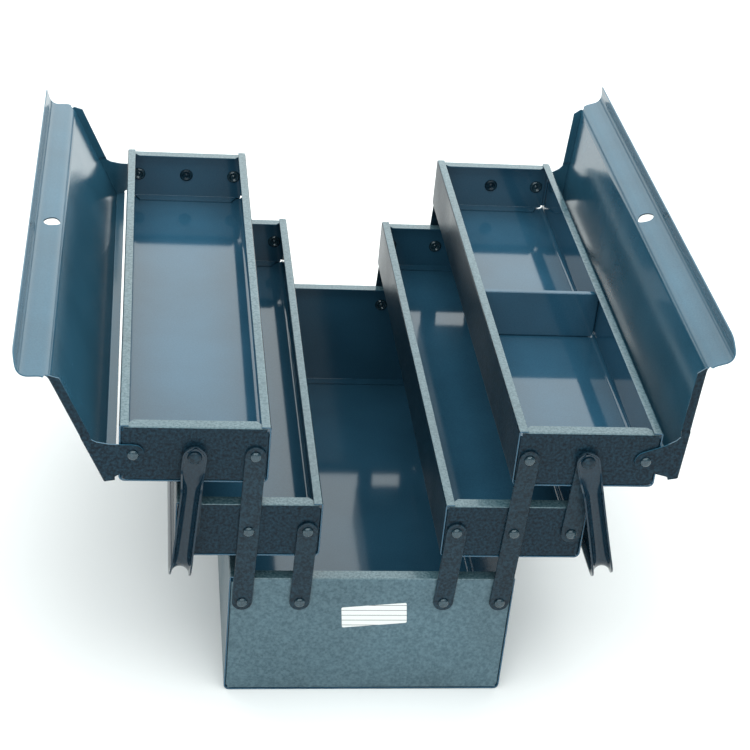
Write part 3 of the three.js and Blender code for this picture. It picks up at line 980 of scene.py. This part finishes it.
    def end_grid(self, end: End) -> np.ndarray:
        """The flange at one end: a quarter bend down from the roof, then flat to its foot."""
        last = self.ridge[0] - 1
        u = np.unique(np.concatenate([
            np.linspace(self.eave[0], self.eave[0] + 2.3, 3),
            np.linspace(-15.4, self.ear_shoulder, 4),
            self.ear_radius * np.cos(np.radians(np.linspace(10, 165, 20))), self.ear_neck,
            np.linspace(8, self.joggle[0], 7), np.linspace(*self.joggle, 7),
            np.linspace(self.joggle[1], last - 3, 12), [last]]))
        turn = np.radians(np.linspace(0, 90, 5))
        face, roof = self.end_face(u), self.roof_height(u)
        bend_y = face[:, None] - self.end_bend + self.end_bend * np.sin(turn)
        bend_z = roof[:, None] - self.end_bend + self.end_bend * np.cos(turn)
        drop = np.linspace(0.08, 1, 7)
        foot = np.minimum(self.ear_foot(u), roof - self.end_bend - 0.1)
        flat_z = bend_z[:, -1:] + (foot - bend_z[:, -1])[:, None] * drop
        grid = np.empty((len(u), bend_y.shape[1] + len(drop), 3))
        grid[..., 0] = u[:, None]
        flat_y = np.repeat(face[:, None], len(drop), 1)
        grid[..., 1] = end.value * np.concatenate([bend_y, flat_y], 1)
        grid[..., 2] = np.concatenate([bend_z, flat_z], 1)
        return grid

    def cut_hole(self, piece: bpy.types.Object) -> None:
        """Cuts the padlock hole square to the rise."""
        rise = math.radians(self.rise_angle)
        up = np.array([math.cos(rise), math.sin(rise)])
        angle = np.linspace(0, 2 * np.pi, 40, endpoint=False)
        rows = []
        for lift, size in ((-6, 0), (-6, 1), (6, 1), (6, 0)):
            reach = self.hole_at + self.hole_radius * size * np.cos(angle)
            points = np.array(self.ridge) + reach[:, None] * up
            points = points + lift * np.array([-up[1], up[0]])
            rows.append(np.stack([points[:, 0], self.hole_radius * size * np.sin(angle),
                                  points[:, 1]], 1))
        grids = Grids()
        grids.add(self.place(np.array(rows)), loop=True)
        cutter = grids.build("hole_cutter", closed=True)
        cut = piece.modifiers.new("Padlock hole", "BOOLEAN")
        cut.operation = "DIFFERENCE"
        cut.solver = "EXACT"
        cut.object = cutter
        apply_modifiers(piece)
        bpy.data.objects.remove(cutter)

    def build(self, finishes: Finishes) -> None:
        """Builds the lid."""
        mirrored = self.side is Side.RIGHT
        grids = Grids()
        grids.add(self.place(self.body_grid()), flip=mirrored)
        for end in End:
            grids.add(self.place(self.end_grid(end)), flip=mirrored != (end is End.FRONT))
        piece = grids.build(f"{self.side.label}_lid_sheet")
        solid = piece.modifiers.new("Sheet", "SOLIDIFY")
        solid.thickness = self.sheet * MM
        solid.offset = -1
        solid.material_offset = 1
        solid.material_offset_rim = 1
        finishes.dress(piece, HAMMERED, LID_INSIDE)
        apply_modifiers(piece)
        self.cut_hole(piece)
        break_edges(piece, 0.22)
        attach(piece, f"{self.side.label}_lid")
        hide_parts(f"{self.side.label}_lid")
        LOG.info("%s lid", self.side.label)


def apply_modifiers(piece: bpy.types.Object) -> None:
    """Makes a piece's modifiers part of its mesh."""
    graph = bpy.context.evaluated_depsgraph_get()
    finished = bpy.data.meshes.new_from_object(piece.evaluated_get(graph))
    piece.modifiers.clear()
    piece.data = finished


# ---------------------------------------------------------------------------------------------
# Handles
# ---------------------------------------------------------------------------------------------

@dataclass
class Handle:
    """A half-round channel bent into a wide U, open away from its pivots, with spoon eyes."""

    side: Side
    hang: float
    grip_radius: float = 7.4
    arm_radius: float = 6.9
    wall: float = 1.2
    drop: float = 92.0
    bend: float = 17.0
    eye_radius: float = 8.0
    eye_dish: float = 2.4
    bowl: float = 0.55
    clearance: float = 0.1
    eye_step: float = 2.4
    neck: tuple[float, float] = (7.0, 26.0)

    def __post_init__(self) -> None:
        """Works out where the handle hangs."""
        self.pivot = pivot_mm(f"{self.side.label}_handle_swing")
        _, high = box_mm(f"{self.side.label}_handle")
        self.arm_face = high[1] - self.grip_radius - self.clearance

    def route(self) -> tuple[np.ndarray, np.ndarray]:
        """Half of the channel's centre line, from an eye's tip to the middle of the grip.

        The line is measured as places along Y and drops below the pivot. It is straight down
        the arm, a quarter circle, then straight along the grip.

        Returns:
            The line's points, and the direction towards the concave side at each of them.
        """
        arm_y = self.arm_face + self.grip_radius
        bar = self.drop + self.grip_radius
        arm = np.unique(np.concatenate([
            -self.eye_radius * np.cos(np.radians(np.linspace(0, 90, 13))),
            np.linspace(0, self.neck[1], 20), np.linspace(self.neck[1], bar - self.bend, 6)]))
        turn = np.linspace(0, 90, 13)
        curve = arc((arm_y - self.bend, bar - self.bend), self.bend, 0, 90, 12)
        grip = np.linspace(arm_y - self.bend, 0, 12)[1:]
        line = np.concatenate([
            np.stack([np.full(len(arm), arm_y), arm], 1), curve[1:],
            np.stack([grip, np.full(len(grip), bar)], 1)])
        angle = np.radians(np.concatenate([np.zeros(len(arm)), turn[1:], np.full(len(grip), 90.0)]))
        return line, np.stack([np.cos(angle), np.sin(angle)], 1)

    def surface(self) -> np.ndarray:
        """Half of the handle's convex face.

        Across the channel the face is a half ellipse: width times the sine, and depth times one
        minus the cosine, of an angle from -90 to 90 degrees. The width follows the eye's circle
        and eases to the grip's radius; the depth and the face's own height ease from the eye's
        shallow dish to the full half round.

        Returns:
            A grid of points in the handle's own frame: X, Y and drop.
        """
        line, outward = self.route()
        drop = line[:, 1]
        ease = np.clip((drop - self.neck[0]) / (self.neck[1] - self.neck[0]), 0, 1)
        ease = 3 * ease**2 - 2 * ease**3
        ease = np.where(outward[:, 1] > 0, 1.0, ease)
        tip = np.sqrt(np.clip(self.eye_radius**2 - np.minimum(drop, 0) ** 2, 0.01, None))
        low = np.clip((drop - self.neck[1]) / (self.drop - self.neck[1]), 0, 1)
        arm = self.arm_radius + (self.grip_radius - self.arm_radius) * low**2
        width = np.where(drop < 0, tip, self.eye_radius + (arm - self.eye_radius) * ease)
        depth = self.eye_dish + (self.grip_radius - self.eye_dish) * ease
        scale = np.where(drop < 0, tip / self.eye_radius, 1.0)
        apex = self.eye_step * (1 - ease)
        angle = np.radians(np.linspace(-90, 90, 21))
        rise = depth[:, None] * (1 - np.cos(angle))
        bowl = (1 - scale**2)[:, None] * depth[:, None] * self.bowl
        offset = -self.grip_radius - apex[:, None] + rise * scale[:, None] + bowl
        grid = np.empty((len(line), len(angle), 3))
        grid[..., 0] = width[:, None] * np.sin(angle)
        grid[..., 1] = line[:, :1] + outward[:, :1] * offset
        grid[..., 2] = line[:, 1:] + outward[:, 1:] * offset
        return grid

    def build(self, finishes: Finishes) -> None:
        """Builds the handle from its half and the half's mirror image, then hangs it."""
        half = self.surface()
        front = half * np.array([1, -1, 1])
        whole = np.concatenate([front, half[::-1][1:]])
        lean = math.radians(self.hang)
        outward = self.side.value
        placed = np.empty_like(whole)
        placed[..., 0] = self.pivot[0] + whole[..., 0] * math.cos(lean) \
            + outward * whole[..., 2] * math.sin(lean)
        placed[..., 1] = whole[..., 1]
        placed[..., 2] = self.pivot[1] - whole[..., 2] * math.cos(lean) \
            + outward * whole[..., 0] * math.sin(lean)
        grids = Grids()
        grids.add(placed, flip=True)
        piece = grids.build(f"{self.side.label}_carrying_handle")
        fold_sheet(piece, self.wall, edge=0.3)
        finishes.dress(piece, HANDLE, HANDLE)
        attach(piece, f"{self.side.label}_handle")
        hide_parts(f"{self.side.label}_handle")
        LOG.info("%s handle", self.side.label)


# ---------------------------------------------------------------------------------------------
# Label
# ---------------------------------------------------------------------------------------------

@dataclass
class Label:
    """A blank paper label stuck to the front of the base."""

    centre: tuple[float, float] = (3.0, 68.5)
    width: float = 46.0
    height: float = 18.0
    corner: float = 1.2
    turn: float = 5.5
    thickness: float = 0.15

    def build(self) -> None:
        """Builds the label as rings of a rounded rectangle, from its middle out."""
        face = box_mm("base_front_panel")[0][1]
        x, z = self.width / 2 - self.corner, self.height / 2 - self.corner
        ring = np.concatenate([
            arc((x, z), self.corner, 0, 90, 5), arc((-x, z), self.corner, 90, 180, 5),
            arc((-x, -z), self.corner, 180, 270, 5), arc((x, -z), self.corner, 270, 360, 5)])
        turn = math.radians(self.turn)
        across = ring[:, 0] * math.cos(turn) - ring[:, 1] * math.sin(turn)
        upward = ring[:, 0] * math.sin(turn) + ring[:, 1] * math.cos(turn)
        rows = []
        for size, out in ((0, 1), (0.9, 1), (0.995, 1), (1, 0.6), (1, -0.5), (0, -0.5)):
            rows.append(np.stack([
                self.centre[0] + across * size,
                np.full(len(ring), face - self.thickness * out),
                self.centre[1] + upward * size], 1))
        grids = Grids()
        grids.add(np.array(rows), loop=True)
        piece = grids.build("base_label", closed=True)
        add_weighted_normals(piece)
        middle = np.array([self.centre[0], face, self.centre[1]])
        piece.data.materials.append(Paper().material(middle))
        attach(piece, "base")
        LOG.info("label")


# ---------------------------------------------------------------------------------------------
# Studio
# ---------------------------------------------------------------------------------------------

@dataclass
class Studio:
    """The camera, the floor and the light."""

    eye: tuple[float, float, float] = (-165.9, -1188.0, 874.8)
    yaw: float = -8.85
    pitch: float = 31.54
    roll: float = 5.77
    lens: float = 86.5
    floor_size: float = 12.0
    lamp_tint: tuple[float, float, float] = (0.94, 1.0, 0.985)

    def camera(self) -> None:
        """Stands the camera: turned by its yaw, tipped down by its pitch, then rolled."""
        yaw, pitch, roll = (math.radians(a) for a in (self.yaw, self.pitch, self.roll))
        ahead = Vector((-math.sin(yaw) * math.cos(pitch), math.cos(yaw) * math.cos(pitch),
                        -math.sin(pitch)))
        level = Vector((math.cos(yaw), math.sin(yaw), 0))
        over = level.cross(ahead)
        right = level * math.cos(roll) + over * math.sin(roll)
        up = over * math.cos(roll) - level * math.sin(roll)
        data = bpy.data.cameras.new("camera")
        data.lens = self.lens
        data.sensor_width = 36
        data.clip_start = 0.01
        camera = bpy.data.objects.new("camera", data)
        bpy.context.scene.collection.objects.link(camera)
        turn = Matrix((right, up, -ahead)).transposed().to_4x4()
        camera.matrix_world = Matrix.Translation(Vector(self.eye) * MM) @ turn
        bpy.context.scene.camera = camera

    def floor(self) -> None:
        """Lays a plain pale floor just under the base."""
        half = self.floor_size / 2
        mesh = bpy.data.meshes.new("floor")
        mesh.from_pydata([(-half, -half, 0), (half, -half, 0), (half, half, 0), (-half, half, 0)],
                         [], [(0, 1, 2, 3)])
        floor = bpy.data.objects.new("floor", mesh)
        floor.location.z = -0.2 * MM
        bpy.context.scene.collection.objects.link(floor)
        material = bpy.data.materials.new("floor")
        material.use_nodes = True
        shader = material.node_tree.nodes["Principled BSDF"]
        shader.inputs["Base Color"].default_value = (0.93, 0.93, 0.93, 1)
        shader.inputs["Roughness"].default_value = 0.9
        shader.inputs["Specular IOR Level"].default_value = 0.1
        mesh.materials.append(material)

    def softbox(self, name: str, place: tuple[float, float, float], size: tuple[float, float],
                power: float) -> None:
        """Hangs a rectangular light that faces the toolbox.

        Args:
            name: the light's name.
            place: where it hangs, in metres.
            size: its width and height, in metres.
            power: its power, in watts.
        """
        data = bpy.data.lights.new(name, "AREA")
        data.shape = "RECTANGLE"
        data.size, data.size_y = size
        data.energy = power
        data.color = self.lamp_tint
        lamp = bpy.data.objects.new(name, data)
        lamp.location = place
        aim = Vector((0, 0, 0.15)) - Vector(place)
        lamp.rotation_euler = aim.to_track_quat("-Z", "Y").to_euler()
        bpy.context.scene.collection.objects.link(lamp)

    def light(self) -> None:
        """Sets the room's fill and hangs the softboxes."""
        world = bpy.data.worlds.new("studio")
        bpy.context.scene.world = world
        world.use_nodes = True
        ground = world.node_tree.nodes["Background"]
        ground.inputs["Color"].default_value = (0.93, 0.97, 1.0, 1)
        ground.inputs["Strength"].default_value = 0.37
        self.softbox("rear_softbox", (0.0, 3.3, 2.5), (7.6, 4.6), 215)
        self.softbox("top_softbox", (0.0, -0.5, 3.4), (5.0, 4.0), 150)
        self.softbox("front_softbox", (-0.3, -3.0, 1.6), (3.4, 1.6), 46)

    def build(self) -> None:
        """Sets up the studio."""
        self.camera()
        self.floor()
        self.light()
        scene = bpy.context.scene
        scene.view_settings.view_transform = "Standard"
        scene.view_settings.look = "None"


# ---------------------------------------------------------------------------------------------
# The toolbox
# ---------------------------------------------------------------------------------------------

HANDLE_HANG = {Side.LEFT: 4.3, Side.RIGHT: 14.0}


def build_side(side: Side, finishes: Finishes) -> None:
    """Builds one side's trays, straps, rivets, lid and handle."""
    name = side.label
    for level in ("middle", "upper"):
        SheetBox(f"{name}_{level}_tray", f"{name}_{level}_tray", "tray_enamel",
                 HAMMERED).build(finishes)
    outer, inner = pivot_mm(f"{name}_fold"), pivot_mm(f"{name}_inner_strap_turn")
    upper_inner = pivot_mm(f"{name}_upper_tray_level")
    upper_centre = pivot_mm(f"{name}_outer_strap_turn")
    link = (upper_inner - outer) / 2
    StrapSet(side, "long", outer, upper_inner).build(finishes)
    StrapSet(side, "inner", inner, inner + link).build(finishes)
    StrapSet(side, "outer", upper_centre - link, upper_centre, stud=True).build(finishes)
    rivets = {"base_outer": "base", "base_inner": "base", "middle_outer": f"{name}_middle_tray",
              "middle_centre": f"{name}_middle_tray", "middle_inner": f"{name}_middle_tray",
              "upper_inner": f"{name}_upper_tray", "lid": f"{name}_upper_tray"}
    for place, body in rivets.items():
        for end in End:
            Rivet(f"{name}_{place}_rivet_{end.label}", body).build(end, finishes)
    Lid(side).build(finishes)
    Handle(side, HANDLE_HANG[side]).build(finishes)


def main() -> None:
    """Builds the toolbox and the studio."""
    logging.basicConfig(level=logging.INFO, format="%(message)s")
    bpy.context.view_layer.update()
    finishes = Finishes()
    Studio().build()
    # The base's outside takes the lighter enamel, which carries the painted floor reflection.
    SheetBox("base", "base", "base_enamel", BASE_PAINTED_REFLECTION).build(finishes)
    Divider("right_upper_tray_divider", "right_upper_tray").build(finishes)
    for side in Side:
        build_side(side, finishes)
    Label().build()


if __name__ == "__main__":
    main()
